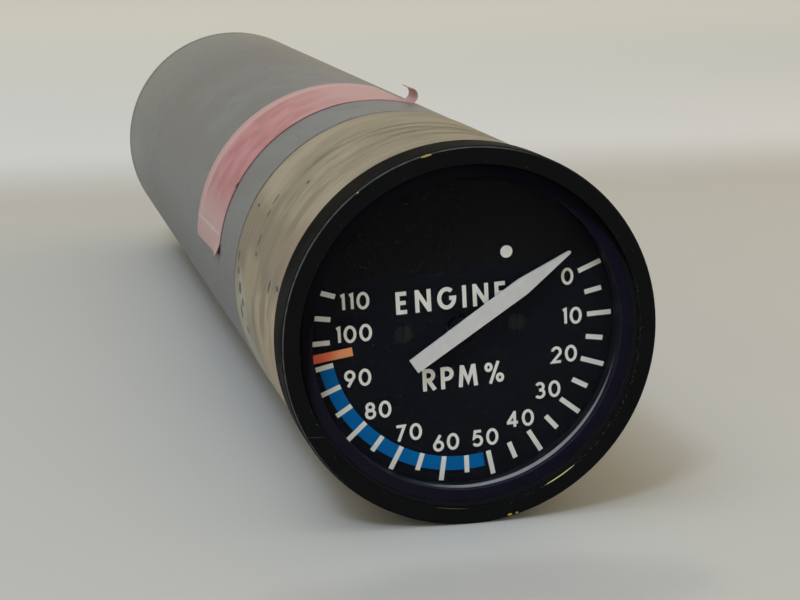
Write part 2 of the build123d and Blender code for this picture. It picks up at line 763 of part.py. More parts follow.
def connector_shell():
    """The receptacle's shell: a flange inside the case, a panel thread and the coupling barrel."""
    return turned([
        (CONNECTOR_BORE_R, SHELL_FRONT),
        (CONNECTOR_FLANGE_R, SHELL_FRONT),
        (CONNECTOR_FLANGE_R, SHELL_FRONT + CONNECTOR_FLANGE),
        (PANEL_THREAD_R, SHELL_FRONT + CONNECTOR_FLANGE),
        (PANEL_THREAD_R, BARREL_START),
        (CONNECTOR_R, BARREL_START),
        (CONNECTOR_R, BARREL_END),
        (CONNECTOR_BORE_R, BARREL_END),
    ])


def connector_nut():
    """The hexagon nut that holds the connector on the end plate."""
    nut = pressed(hexagon(2 * CONNECTOR_FLANGE_R), CASE_LENGTH, BARREL_START)
    return nut - rod(PANEL_THREAD_R + SNUG, CASE_LENGTH, BARREL_START)


def contact_places():
    """X and Z of the contacts, evenly round a circle."""
    angles = [90 + 360 * step / CONTACT_COUNT for step in range(CONTACT_COUNT)]
    return [on_circle(CONTACT_CIRCLE, angle) for angle in angles]


def connector_insert():
    """The moulded insert that holds the contacts in the shell."""
    insert = rod(CONNECTOR_BORE_R - SNUG, SHELL_FRONT, INSERT_END)
    for x, z in contact_places():
        insert -= rod(CONTACT_R + SNUG, SHELL_FRONT, INSERT_END, x, z)
    return insert


def contacts():
    """Socket contacts, bored from the mating end, with solder tails inside the case."""
    sockets = []
    for x, z in contact_places():
        socket = rod(CONTACT_R, SHELL_FRONT - CONTACT_TAIL, INSERT_END - SLIP, x, z)
        sockets.append(socket - rod(CONTACT_BORE_R, INSERT_END - CONTACT_BORE, INSERT_END, x, z))
    return sockets


def tape():
    """The strip of red tape stuck round part of the can; its low end is cut a little askew."""
    first, front_last, rear_last = TAPE_ANGLES
    end = TAPE_START + TAPE_WIDTH

    def arc(radius):
        points = [on_circle(radius, angle) for angle in (first, (first + rear_last) / 2, rear_last)]
        return ThreePointArc(*points)

    inner, outer = arc(CAN_R), arc(CAN_R + TAPE)
    sides = [Line(inner @ 0, outer @ 0), Line(inner @ 1, outer @ 1)]
    strip = pressed(make_face([inner, outer, *sides]), TAPE_START, end)
    front_corner = on_circle(CAN_R, front_last)[1]
    rear_corner = on_circle(CAN_R, rear_last)[1]
    below = rear_corner - 1
    offcut = make_face(Polyline(
        (TAPE_START, front_corner),
        (end, rear_corner),
        (end, below),
        (TAPE_START, below),
        close=True,
    ))
    return strip - extrude(Plane.YZ * offcut, amount=-2 * CAN_R)


PARTS = {
    "bezel": bezel(),
    "front_case": front_case(),
    "can": can(),
    "can_gasket": can_gasket(SEAT_LENGTH),
    "end_gasket": can_gasket(CAN_END),
    "glass": glass(),
    "glass_seal": glass_seal(),
    "mask_ring": mask_ring(),
    "reflector_ring": reflector_ring(),
    "dial_ring": dial_ring(),
    "dial": dial(),
    "dial_screws": dial_screws(),
    "pointer": pointer(),
    "pointer_hub": pointer_hub(),
    "front_plate": front_plate(),
    "locating_pin": locating_pin(),
    "pillars": pillars(),
    "back_plate": back_plate(),
    "front_bearing": bearing(DIAL_BACK, PLATE_BACK, PLATE_BACK),
    "rear_bearing": bearing(BACK_PLATE_FRONT, BACK_PLATE_BACK, BACK_PLATE_FRONT - BEARING_FLANGE),
    "spindle": spindle(),
    "spindle_gear": spindle_gear(),
    "spindle_collar": spindle_collar(),
    "stop_pin": stop_pin(),
    "stop_posts": stop_posts(),
    "pot_gear": pot_gear(),
    "pot_shaft": pot_shaft(),
    "pot_body": pot_body(),
    "pot_nut": bush_nut(POT_X),
    "servo_motor": servo_motor(),
    "motor_nut": bush_nut(MOTOR_X),
    "motor_shaft": motor_shaft(),
    "motor_pinion": motor_pinion(),
    "chassis_rails": chassis_rails(),
    "bulkhead": bulkhead(),
    "servo_board": board(1),
    "supply_board": board(-1),
    "capacitors": capacitors(),
    "transistors": transistors(),
    "resistors": resistors(),
    "transformer_core": transformer_core(),
    "transformer_coil": transformer_coil(),
    "end_plate": end_plate(),
    "end_screws": end_screws(),
    "connector_seal": connector_seal(),
    "connector_shell": connector_shell(),
    "connector_nut": connector_nut(),
    "connector_insert": connector_insert(),
    "contacts": contacts(),
    "tape": tape(),
}

os.makedirs("parts", exist_ok=True)
for name, piece in PARTS.items():
    shape = Compound(piece) if isinstance(piece, list) else piece
    export_step(shape, f"parts/{name}.step")
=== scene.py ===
import json
import math

import bpy
import numpy as np
from mathutils import Matrix, Vector


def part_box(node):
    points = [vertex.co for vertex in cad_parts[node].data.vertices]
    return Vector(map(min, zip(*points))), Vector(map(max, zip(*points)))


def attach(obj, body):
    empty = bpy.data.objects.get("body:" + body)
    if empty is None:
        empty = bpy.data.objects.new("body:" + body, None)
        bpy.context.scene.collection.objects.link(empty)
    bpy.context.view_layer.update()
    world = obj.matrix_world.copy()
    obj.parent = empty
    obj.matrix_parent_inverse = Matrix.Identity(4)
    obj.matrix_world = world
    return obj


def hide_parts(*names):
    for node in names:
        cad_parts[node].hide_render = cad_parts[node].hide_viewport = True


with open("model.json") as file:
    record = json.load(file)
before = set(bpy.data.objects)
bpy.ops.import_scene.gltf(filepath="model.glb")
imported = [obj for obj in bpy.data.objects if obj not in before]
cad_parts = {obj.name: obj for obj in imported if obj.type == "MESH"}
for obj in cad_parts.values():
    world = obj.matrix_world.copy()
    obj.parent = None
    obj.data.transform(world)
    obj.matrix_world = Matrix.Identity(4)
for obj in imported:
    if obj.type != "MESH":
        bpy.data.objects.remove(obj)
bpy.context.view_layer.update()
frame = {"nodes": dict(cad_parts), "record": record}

# Looks of an aircraft tachometer: printed dial, paints and metals, red tape, floor, lights and camera.
# Drawing sizes are in millimetres. Angles are in degrees up from the dial's right, seen from the front.

MM = 0.001
MATERIALS = {}


def node_mm(node):
    """Lowest and highest corners of a CAD node, in millimetres."""
    low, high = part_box(node)
    return np.array(low) / MM, np.array(high) / MM


DIAL_FRONT = node_mm("dial")[0][1]
CAN_FRONT = node_mm("can")[0][1]
CAN_R = node_mm("can")[1][0]
SEAT_R = node_mm("front_case")[1][0]
SEAT_END = 37.0
BEZEL_FACE = node_mm("bezel")[0][1]
BEZEL_R = node_mm("bezel")[1][0]
TAPE_FRONT, TAPE_REAR = node_mm("tape")[0][1], node_mm("tape")[1][1]


def screen(*display):
    """The linear colour that a picture shows as these display values (red, green, blue)."""
    return tuple(((v + 0.055) / 1.055) ** 2.4 if v > 0.04045 else v / 12.92 for v in display) + (1.0,)


class Finish:
    """One material: a Principled shader and the nodes that drive it. Patterns read Object coordinates."""

    def __init__(self, name, base, **plain):
        self.material = bpy.data.materials.new(name)
        self.material.use_nodes = True
        self.nodes = self.material.node_tree.nodes
        self.links = self.material.node_tree.links
        self.shader = self.nodes["Principled BSDF"]
        self.shader.inputs["Base Color"].default_value = base
        for socket, value in plain.items():
            self.shader.inputs[socket.replace("_", " ")].default_value = value
        MATERIALS[name] = self.material

    def plug(self, socket, value):
        """Sets an input to a number or colour, or links it to another node's output."""
        if isinstance(value, bpy.types.NodeSocket):
            self.links.new(value, socket)
        else:
            socket.default_value = value

    def place(self):
        """The point's place on the piece, in metres."""
        return self.nodes.new("ShaderNodeTexCoord").outputs["Object"]

    def step(self, kind, first, second=0.0, third=0.0):
        """One step of arithmetic on numbers."""
        node = self.nodes.new("ShaderNodeMath")
        node.operation = kind
        for socket, value in zip(node.inputs, (first, second, third)):
            self.plug(socket, value)
        return node.outputs[0]

    def plus(self, first, second):
        """The sum of two numbers."""
        return self.step("ADD", first, second)

    def minus(self, first, second):
        """The difference of two numbers."""
        return self.step("SUBTRACT", first, second)

    def most(self, first, second):
        """The greater of two numbers."""
        return self.step("MAXIMUM", first, second)

    def product(self, *values):
        """Numbers multiplied together."""
        result = values[0]
        for value in values[1:]:
            result = self.step("MULTIPLY", result, value)
        return result

    def spread(self, value, low, high, start=0.0, end=1.0):
        """value between low and high brought smoothly to start and end."""
        node = self.nodes.new("ShaderNodeMapRange")
        node.interpolation_type = "SMOOTHSTEP"
        names = ("Value", "From Min", "From Max", "To Min", "To Max")
        for name, given in zip(names, (value, low, high, start, end)):
            self.plug(node.inputs[name], given)
        return node.outputs[0]

    def window(self, value, low, high, soft):
        """1 between low and high, falling to 0 over the distance soft outside them."""
        return self.product(self.spread(value, low - soft, low), self.spread(value, high + soft, high))

    def mix(self, share, first, second):
        """A colour between two others."""
        node = self.nodes.new("ShaderNodeMix")
        node.data_type = "RGBA"
        sockets = (node.inputs[0], node.inputs[6], node.inputs[7])
        for socket, value in zip(sockets, (share, first, second)):
            self.plug(socket, value)
        return node.outputs[2]

    def noise(self, sizes, detail=3.0, coarse=0.5, place=None):
        """Clouds whose grain is sizes (x, y, z) in millimetres; 0.5 on average."""
        stretch = self.nodes.new("ShaderNodeVectorMath")
        stretch.operation = "MULTIPLY"
        self.links.new(place or self.place(), stretch.inputs[0])
        stretch.inputs[1].default_value = [1 / (MM * size) for size in sizes]
        node = self.nodes.new("ShaderNodeTexNoise")
        node.inputs["Scale"].default_value = 1.0
        node.inputs["Detail"].default_value = detail
        node.inputs["Roughness"].default_value = coarse
        self.links.new(stretch.outputs[0], node.inputs["Vector"])
        return node.outputs["Fac"]

    def axes(self):
        """The point's x, y and z in millimetres."""
        parts = self.nodes.new("ShaderNodeSeparateXYZ")
        self.links.new(self.place(), parts.inputs[0])
        return [self.step("DIVIDE", value, MM) for value in parts.outputs]

    def round_place(self, start=-90.0):
        """Angle (degrees from start to a full turn later), radius and y (millimetres) round the Y axis."""
        x, y, z = self.axes()
        angle = self.product(self.step("ARCTAN2", z, x), math.degrees(1))
        square = self.plus(self.product(x, x), self.product(z, z))
        return self.step("WRAP", angle, start + 360, start), self.step("SQRT", square), y

    def unrolled(self, angle, radius, along):
        """The surface of a drum of this radius rolled out flat: x round it and y along it, in metres."""
        join = self.nodes.new("ShaderNodeCombineXYZ")
        self.plug(join.inputs[0], self.product(angle, math.radians(radius) * MM))
        self.plug(join.inputs[1], self.product(along, MM))
        return join.outputs[0]

    def spots(self, first, second, places, ragged=0.35, soft=0.25, grain=0.5):
        """1 inside oval spots, given as (first, second, half sizes) in two coordinates. Noise of this grain
        makes their edges ragged."""
        rough = self.product(self.minus(self.noise((grain, grain, grain)), 0.5), 4 * ragged)
        nearest = None
        for a, b, half_a, half_b in places:
            across = self.step("DIVIDE", self.minus(first, a), half_a)
            along = self.step("DIVIDE", self.minus(second, b), half_b)
            apart = self.plus(self.product(across, across), self.product(along, along))
            nearest = apart if nearest is None else self.step("MINIMUM", nearest, apart)
        return self.spread(self.plus(nearest, rough), 1 + soft, 1 - soft)

    def specks(self, size, least):
        """1 in small scattered specks: the peaks of a fine noise above least."""
        return self.spread(self.noise((size, size, size), detail=0.0), least, least + 0.03)

    def colour(self, value):
        """Drives the colour."""
        self.plug(self.shader.inputs["Base Color"], value)

    def roughness(self, cloud, smooth, rough, low=0.3, high=0.7):
        """Lets the roughness go from smooth to rough as a cloud goes from low to high."""
        self.plug(self.shader.inputs["Roughness"], self.spread(cloud, low, high, smooth, rough))

    def bump(self, height, depth, strength=1.0):
        """Relief of this depth in millimetres."""
        node = self.nodes.new("ShaderNodeBump")
        node.inputs["Strength"].default_value = strength
        node.inputs["Distance"].default_value = depth * MM
        self.plug(node.inputs["Height"], height)
        self.plug(self.shader.inputs["Normal"], node.outputs[0])


# Marks on the bezel's face and on the seat: angle, then radius or y, then their half sizes
BEZEL_CHIPS = [
    (101.7, 25.50, 1.6, 0.12), (124.6, 25.52, 0.4, 0.07),
    (-80.9, 25.5, 0.7, 0.2), (-78.6, 25.55, 0.5, 0.16),
]
LIP_RUBBED = [(260.0, 23.57, 5.5, 0.06)]
# A painted highlight on the lip's inner edge at the lower right
LIP_PAINTED_HIGHLIGHT = [(-61.0, 23.50, 6.0, 0.075)]
FACE_SCRATCH = (206.7, 24.3, 0.16, 1.15)
SCRATCH_SLANT = 1.48         # degrees for each millimetre of radius
SEAT_FLAKED = [(186, 31, 14, 4.5), (203, 26, 13, 4.5), (212, 19, 12, 6)]
SEAT_NICKS = [
    (141.9, 25.6, 2.3, 0.34), (147.0, 24.8, 1.5, 0.36), (155.8, 23.2, 2.0, 0.38), (160.5, 22.4, 0.7, 0.5),
    (131.1, 17.1, 0.8, 0.45), (147.5, 33.0, 0.7, 0.6), (164.9, 8.9, 2.0, 0.60), (163.0, 3.5, 0.8, 0.9),
]
SEAT_FLAKES = [
    (166, 34.8, 1.8, 0.7), (171, 33.6, 1.2, 0.8), (176.0, 31.6, 2.3, 1.1), (180, 29.4, 1.4, 1.0),
    (184.0, 31.5, 2.6, 0.9), (189, 28.0, 1.6, 0.8),
]


def bezel_paint():
    """Satin black paint, chipped to yellow metal at the edges, with painted highlights on the front corner
    and the lip's inner edge, and painted shade on the side wall.
    """
    finish = Finish("bezel_paint", screen(0.05, 0.05, 0.05), IOR=1.06)
    angle, radius, along = finish.round_place()
    cloud = finish.noise((6, 6, 6))
    fine = finish.noise((0.25, 0.25, 0.25))
    front = finish.spread(along, BEZEL_FACE + 0.32, BEZEL_FACE + 0.24)
    face = finish.mix(cloud, screen(0.062, 0.065, 0.073), screen(0.086, 0.089, 0.097))
    # The side wall is painted darker than the face: painted shade.
    side = finish.mix(cloud, screen(0.028, 0.034, 0.042), screen(0.042, 0.048, 0.058))
    paint = finish.mix(front, side, face)
    # Painted highlight: lighter grey along the front corner over the upper left, where the light falls.
    corner = finish.product(front, finish.window(radius, BEZEL_R - 0.26, BEZEL_R - 0.14, 0.04))
    painted_highlight_arc = finish.window(angle, 85, 205, 25)
    uneven = finish.spread(finish.noise((1.2, 1.2, 1.2)), 0.3, 0.6, 0.55, 1.0)
    paint = finish.mix(finish.product(corner, painted_highlight_arc, uneven), paint, screen(0.31, 0.31, 0.32))
    near_lip = finish.spread(radius, 24.4, 23.5, 0.25, 1.0)
    row = finish.product(finish.window(radius, 23.4, 23.7, 0.1), finish.window(angle, -70, 8, 10))
    scattered = finish.product(finish.specks(0.30, 0.77), near_lip)
    dust = finish.most(scattered, finish.product(finish.specks(0.22, 0.68), row))
    paint = finish.mix(dust, paint, screen(0.26, 0.26, 0.25))
    slant = finish.plus(angle, finish.product(finish.minus(radius, FACE_SCRATCH[1]), SCRATCH_SLANT))
    paint = finish.mix(finish.spots(slant, radius, [FACE_SCRATCH]), paint, screen(0.20, 0.20, 0.19))
    # A rubbed brownish spot on the lip at the bottom.
    rub_and_highlight = finish.spots(angle, radius, LIP_RUBBED, grain=0.3)
    paint = finish.mix(rub_and_highlight, paint, screen(0.33, 0.28, 0.20))
    chips = finish.product(front, finish.spots(angle, radius, BEZEL_CHIPS, grain=0.3))
    paint = finish.mix(chips, paint, screen(0.66, 0.60, 0.30))
    # Painted highlight: a pale yellow line on the lip's inner edge at the lower right.
    painted_lip_highlight = finish.spots(angle, radius, LIP_PAINTED_HIGHLIGHT, ragged=0.2, grain=0.4)
    finish.colour(finish.mix(painted_lip_highlight, paint, screen(0.86, 0.84, 0.58)))
    finish.roughness(cloud, 0.42, 0.55)
    finish.bump(finish.minus(fine, finish.product(chips, 2.0)), 0.02, 0.5)


def seat_metal():
    """The worn tan clamp seat: grey smears and fine scratches round it, dark nicks, a pale flaked patch."""
    finish = Finish("seat_metal", screen(0.62, 0.58, 0.50))
    angle, _, along = finish.round_place()
    flat = finish.unrolled(angle, SEAT_R, along)

    # Tones that change slowly over the seat
    cloud = finish.noise((11, 6, 1), place=flat)
    tan = finish.spread(cloud, 0.35, 0.65)
    body = finish.mix(tan, screen(0.500, 0.465, 0.400), screen(0.570, 0.535, 0.465))
    body = finish.mix(finish.window(angle, 150, 166, 10), body, screen(0.450, 0.405, 0.345))
    pink = finish.product(finish.window(angle, 138, 175, 14), finish.spread(along, 16, 8))
    pink = finish.product(pink, finish.spread(cloud, 0.7, 0.3), 0.7)
    body = finish.mix(pink, body, screen(0.535, 0.465, 0.415))
    warm = finish.product(finish.window(angle, 172, 210, 10), finish.window(along, 2, 15, 6), 0.85)
    body = finish.mix(warm, body, screen(0.650, 0.585, 0.480))
    yellow = finish.product(finish.window(angle, 164, 178, 6), finish.window(along, 20, 27, 4), 0.6)
    body = finish.mix(yellow, body, screen(0.590, 0.550, 0.430))
    body = finish.mix(finish.spread(angle, 120, 85, 0.0, 0.4), body, screen(0.42, 0.385, 0.315))

    # Smears round the middle of the upper side, and softer ones lower down
    smear = finish.spread(finish.noise((13, 2.4, 1), detail=5.0, coarse=0.55, place=flat), 0.42, 0.60)
    broken = finish.spread(finish.noise((22, 5, 1), detail=1.0, place=flat), 0.38, 0.55, 0.25, 1.0)
    belt = finish.product(finish.window(along, 12, 23, 4), finish.window(angle, 60, 118, 35))
    body = finish.mix(finish.product(smear, belt, broken, 0.95), body, screen(0.33, 0.305, 0.235))
    soft = finish.spread(finish.noise((9, 3.5, 1), detail=2.0, place=flat), 0.45, 0.65)
    lower = finish.product(finish.window(along, 8, 22, 5), finish.window(angle, 128, 180, 15), 0.8)
    body = finish.mix(finish.product(soft, lower), body, screen(0.42, 0.39, 0.315))

    # Fine scratches, closest by the bezel at the top
    by_bezel = finish.product(finish.spread(along, 9, 2), finish.window(angle, 30, 118, 15))
    lines = finish.spread(finish.noise((13, 0.34, 1), detail=3.0, place=flat), 0.50, 0.66)
    scratched = finish.product(lines, finish.most(by_bezel, 0.10), 0.85)
    body = finish.mix(scratched, body, screen(0.37, 0.335, 0.26))
    hair = finish.spread(finish.noise((9, 0.16, 1), detail=1.0, place=flat), 0.55, 0.7)
    body = finish.mix(finish.product(hair, 0.12), body, screen(0.62, 0.59, 0.52))

    # Flaked paint, nicks, and a dark line where the can begins
    flaked = finish.spots(angle, along, SEAT_FLAKED, ragged=0.5, soft=0.6, grain=5.0)
    body = finish.mix(finish.product(flaked, 0.85), body, screen(0.60, 0.61, 0.57))
    nicks = finish.spots(angle, along, SEAT_NICKS, ragged=0.3, soft=0.12, grain=0.9)
    flakes = finish.spots(angle, along, SEAT_FLAKES, ragged=0.7, grain=1.2)
    rim = finish.plus(along, finish.product(finish.minus(cloud, 0.5), 1.2))
    nicks = finish.most(nicks, finish.spread(rim, SEAT_END - 0.5, SEAT_END - 0.1, 0.0, 0.7))
    body = finish.mix(nicks, body, screen(0.11, 0.10, 0.07))
    finish.colour(finish.mix(flakes, body, screen(0.24, 0.225, 0.17)))
    finish.roughness(lines, 0.45, 0.62, low=0.0, high=1.0)
    depth = finish.plus(finish.product(lines, 0.4), finish.plus(nicks, flakes))
    finish.bump(finish.minus(1.0, depth), 0.015, 0.6)


def can_paint():
    """Semi-matt grey paint on the can and the end plate, mottled, with a few dark specks and a painted warm
    reflection on the upper right.
    """
    finish = Finish("can_paint", screen(0.50, 0.50, 0.49), Specular_IOR_Level=0.4)
    angle, _, along = finish.round_place()
    cloud = finish.noise((18, 26, 18))
    mottle = finish.noise((4, 5, 4))
    grey = finish.spread(cloud, 0.3, 0.7)
    paint = finish.mix(grey, screen(0.372, 0.382, 0.400), screen(0.446, 0.455, 0.474))
    paint = finish.mix(finish.spread(mottle, 0.45, 0.7, 0.0, 0.3), paint, screen(0.36, 0.365, 0.37))
    # Painted warm reflection: a pinkish tint over the upper right side.
    paint = finish.mix(finish.spread(angle, 98, 60, 0.0, 0.25), paint, screen(0.54, 0.50, 0.48))
    paint = finish.mix(finish.spread(along, 150, 200, 0.0, 0.6), paint, screen(0.48, 0.49, 0.49))
    ragged = finish.plus(along, finish.product(finish.minus(mottle, 0.5), 1.6))
    seam = finish.product(finish.spread(ragged, CAN_FRONT + 0.75, CAN_FRONT + 0.35), 0.8)
    stains = finish.most(seam, finish.product(finish.specks(1.1, 0.80), 0.6))
    finish.colour(finish.mix(stains, paint, screen(0.20, 0.195, 0.18)))
    finish.roughness(cloud, 0.40, 0.50)
    finish.bump(finish.noise((0.5, 0.5, 0.5), detail=2.0), 0.01, 0.5)


def mask_anodise():
    """Dull violet anodising on the mask ring, with painted light making it paler at the upper left and the
    left.
    """
    finish = Finish("mask_anodise", screen(0.16, 0.15, 0.2), Specular_IOR_Level=0.1)
    angle = finish.round_place()[0]
    cloud = finish.noise((2.5, 2.5, 2.5))
    tone = finish.mix(cloud, screen(0.150, 0.138, 0.200), screen(0.205, 0.188, 0.270))
    # Painted light: paler tones over the upper left and the left, where the lip shades the ring.
    tone = finish.mix(finish.window(angle, 95, 160, 20), tone, screen(0.235, 0.245, 0.275))
    left = finish.product(finish.window(angle, 170, 245, 25), finish.spread(cloud, 0.3, 0.6, 0.6, 1.0))
    finish.colour(finish.mix(left, tone, screen(0.215, 0.185, 0.235)))
    finish.roughness(cloud, 0.4, 0.55)
    finish.bump(cloud, 0.01, 0.5)


# Where the reflector's painted highlight line runs, in millimetres along Y.
HIGHLIGHT_Y = -2.1


def reflector_metal():
    """The ring behind the mask: dark, with a painted highlight line near its rear edge at the lower right.
    """
    finish = Finish("reflector_metal", screen(0.5, 0.5, 0.5), IOR=1.15)
    angle, _, along = finish.round_place(90.0)
    turning = finish.noise((4, 0.3, 4))
    # Painted highlight: a bright line near the rear edge, widest at the lower right where the light falls.
    half = finish.spread(angle, 290, 355, 0.50, 0.06)
    apart = finish.step("ABSOLUTE", finish.minus(along, HIGHLIGHT_Y))
    line = finish.spread(finish.minus(apart, half), 0.14, 0.0)
    uneven = finish.spread(turning, 0.2, 0.6, 0.75, 1.0)
    painted_highlight_line = finish.product(line, finish.window(angle, 272, 322, 30), uneven)
    finish.colour(finish.mix(painted_highlight_line, screen(0.09, 0.09, 0.11), screen(0.56, 0.56, 0.56)))
    finish.roughness(turning, 0.40, 0.55)
    finish.bump(turning, 0.005, 0.6)


def ring_paint():
    """Black paint on the ring that clamps the dial, with a painted highlight along its front corner at the
    lower right.
    """
    finish = Finish("ring_paint", screen(0.08, 0.08, 0.09), Specular_IOR_Level=0.2)
    angle, _, along = finish.round_place(90.0)
    cloud = finish.noise((2, 2, 2))
    corner = finish.window(along, -0.75, -0.5, 0.15)
    # Painted highlight: lighter grey along the front corner at the lower right.
    rub_and_highlight = finish.product(corner, finish.window(angle, 275, 335, 20), 0.5)
    paint = finish.mix(cloud, screen(0.05, 0.05, 0.055), screen(0.08, 0.08, 0.085))
    finish.colour(finish.mix(rub_and_highlight, paint, screen(0.45, 0.45, 0.48)))
    finish.roughness(cloud, 0.5, 0.6)
    finish.bump(cloud, 0.005, 0.6)


# Height on the dial below which a bluish reflection is painted, in millimetres.
PAINTED_REFLECTION_LINE = (8.35, 8.15)


def dial_paint():
    """Matt black on the dial, with a painted bluish reflection over its lower part, and a little dust."""
    finish = Finish("dial_paint", screen(0.06, 0.06, 0.07), Specular_IOR_Level=0.04)
    z = finish.axes()[2]
    cloud = finish.noise((5, 5, 5))
    # Painted reflection: bluer tones below a straight line, darker above it.
    upper = finish.mix(cloud, screen(0.058, 0.058, 0.058), screen(0.074, 0.074, 0.074))
    lower = finish.mix(cloud, screen(0.054, 0.060, 0.080), screen(0.070, 0.076, 0.098))
    paint = finish.mix(finish.spread(z, *PAINTED_REFLECTION_LINE), upper, lower)
    dust = finish.product(finish.specks(0.28, 0.755), 0.6)
    finish.colour(finish.mix(dust, paint, screen(0.24, 0.24, 0.24)))
    finish.roughness(cloud, 0.55, 0.7)
    finish.bump(finish.noise((0.4, 0.4, 0.4)), 0.005, 0.5)


def print_red():
    """The limit bar's paint: red at its outer end, faded to orange inwards."""
    finish = Finish("print_red", screen(0.9, 0.5, 0.3))
    radius = finish.round_place()[1]
    cloud = finish.noise((1.2, 1.2, 1.2))
    outer = finish.spread(finish.plus(radius, finish.product(cloud, 1.6)), 17.4, 20.4)
    finish.colour(finish.mix(outer, screen(0.94, 0.60, 0.38), screen(0.93, 0.38, 0.22)))
    finish.roughness(cloud, 0.5, 0.65)
    finish.bump(cloud, 0.005, 0.5)


def tape_red():
    """Faded red tape: paler at both ends and along its rear edge, a pale border line, a painted shadow
    along its front edge and a dark nick.
    """
    finish = Finish("tape_red", screen(0.70, 0.50, 0.50), Specular_IOR_Level=0.3)
    angle, _, along = finish.round_place()
    share = finish.step("DIVIDE", finish.minus(along, TAPE_FRONT), TAPE_REAR - TAPE_FRONT)
    cloud = finish.noise((5, 5, 5), detail=4.0)
    red = finish.spread(cloud, 0.35, 0.65)
    red = finish.mix(red, screen(0.635, 0.405, 0.43), screen(0.705, 0.505, 0.53))
    upper_end = finish.spread(angle, 125, 80, 0.0, 0.75)
    faded = finish.most(upper_end, finish.spread(share, 0.72, 0.95, 0.0, 0.7))
    faded = finish.most(faded, finish.spread(angle, 150, 168, 0.0, 0.9))
    red = finish.mix(faded, red, screen(0.715, 0.60, 0.61))
    across = finish.minus(angle, finish.product(share, 1.7))
    border = finish.window(across, 166.9, 167.7, 0.5)
    border = finish.product(border, finish.window(share, 0.08, 0.97, 0.02), 0.75)
    rear = finish.product(finish.window(share, 0.86, 0.89, 0.03), finish.spread(across, 168, 167), 0.4)
    red = finish.mix(finish.most(border, rear), red, screen(0.76, 0.68, 0.67))
    # Painted shadow along the front edge, and a dark nick in it.
    front = finish.spread(along, TAPE_FRONT + 0.5, TAPE_FRONT + 0.15)
    painted_shadow_edge = finish.product(front, finish.window(angle, 100, 180, 10), 0.6)
    nick = finish.spots(angle, along, [(148.0, TAPE_FRONT + 0.1, 1.1, 0.9)], grain=0.6)
    finish.colour(finish.mix(finish.most(painted_shadow_edge, nick), red, screen(0.27, 0.16, 0.15)))
    finish.roughness(cloud, 0.45, 0.6)
    finish.bump(finish.noise((0.7, 0.7, 0.7)), 0.02, 0.5)


# The floor is level while the dial stands turned a little; it touches the bezel's rim and the end plate.
# It turns paler over PALE_LINE, a distance behind the bezel, and slowly paler still over FAR_PALER.
FLOOR_UP = Vector((0.0540, -0.00246, 0.9985)).normalized()
FLOOR_LEVEL = -BEZEL_R
FLOOR_REACH = 4000.0
FLOOR_LINES = 9
PALE_LINE = (262.0, 374.0)
FAR_PALER = (300.0, 1100.0)
DULL_PATCH = (-4.0, -31.0, 26.0, 11.0)


def floor_paint():
    """A pale matt floor, a little duller right in front of the bezel and paler behind the object."""
    finish = Finish("floor_paint", screen(0.76, 0.76, 0.75))
    side, along = finish.axes()[:2]
    cloud = finish.noise((40, 40, 40))
    near = finish.mix(cloud, screen(0.714, 0.719, 0.726), screen(0.726, 0.731, 0.737))
    dull = finish.spots(side, along, [DULL_PATCH], soft=0.9, grain=20.0)
    near = finish.mix(dull, near, screen(0.672, 0.678, 0.690))
    far = finish.spread(along, *FAR_PALER)
    far = finish.mix(far, screen(0.845, 0.868, 0.920), screen(0.955, 0.978, 1.0))
    finish.colour(finish.mix(finish.spread(along, *PALE_LINE), near, far))
    finish.roughness(cloud, 0.6, 0.7)
    finish.bump(finish.noise((1.5, 1.5, 1.5)), 0.01, 0.3)


def glass():
    """Clear coated glass: it bends what is seen, mirrors little and in violet, and lets the lamps in."""
    finish = Finish("glass", (1, 1, 1, 1), Roughness=0.0, IOR=1.5, Transmission_Weight=1.0)
    finish.shader.inputs["Specular Tint"].default_value = (0.02, 0.02, 0.035, 1)
    through = finish.nodes.new("ShaderNodeBsdfTransparent")
    path = finish.nodes.new("ShaderNodeLightPath")
    choice = finish.nodes.new("ShaderNodeMixShader")
    output = finish.nodes["Material Output"]
    finish.links.new(path.outputs["Is Shadow Ray"], choice.inputs[0])
    finish.links.new(finish.shader.outputs[0], choice.inputs[1])
    finish.links.new(through.outputs[0], choice.inputs[2])
    finish.links.new(choice.outputs[0], output.inputs["Surface"])


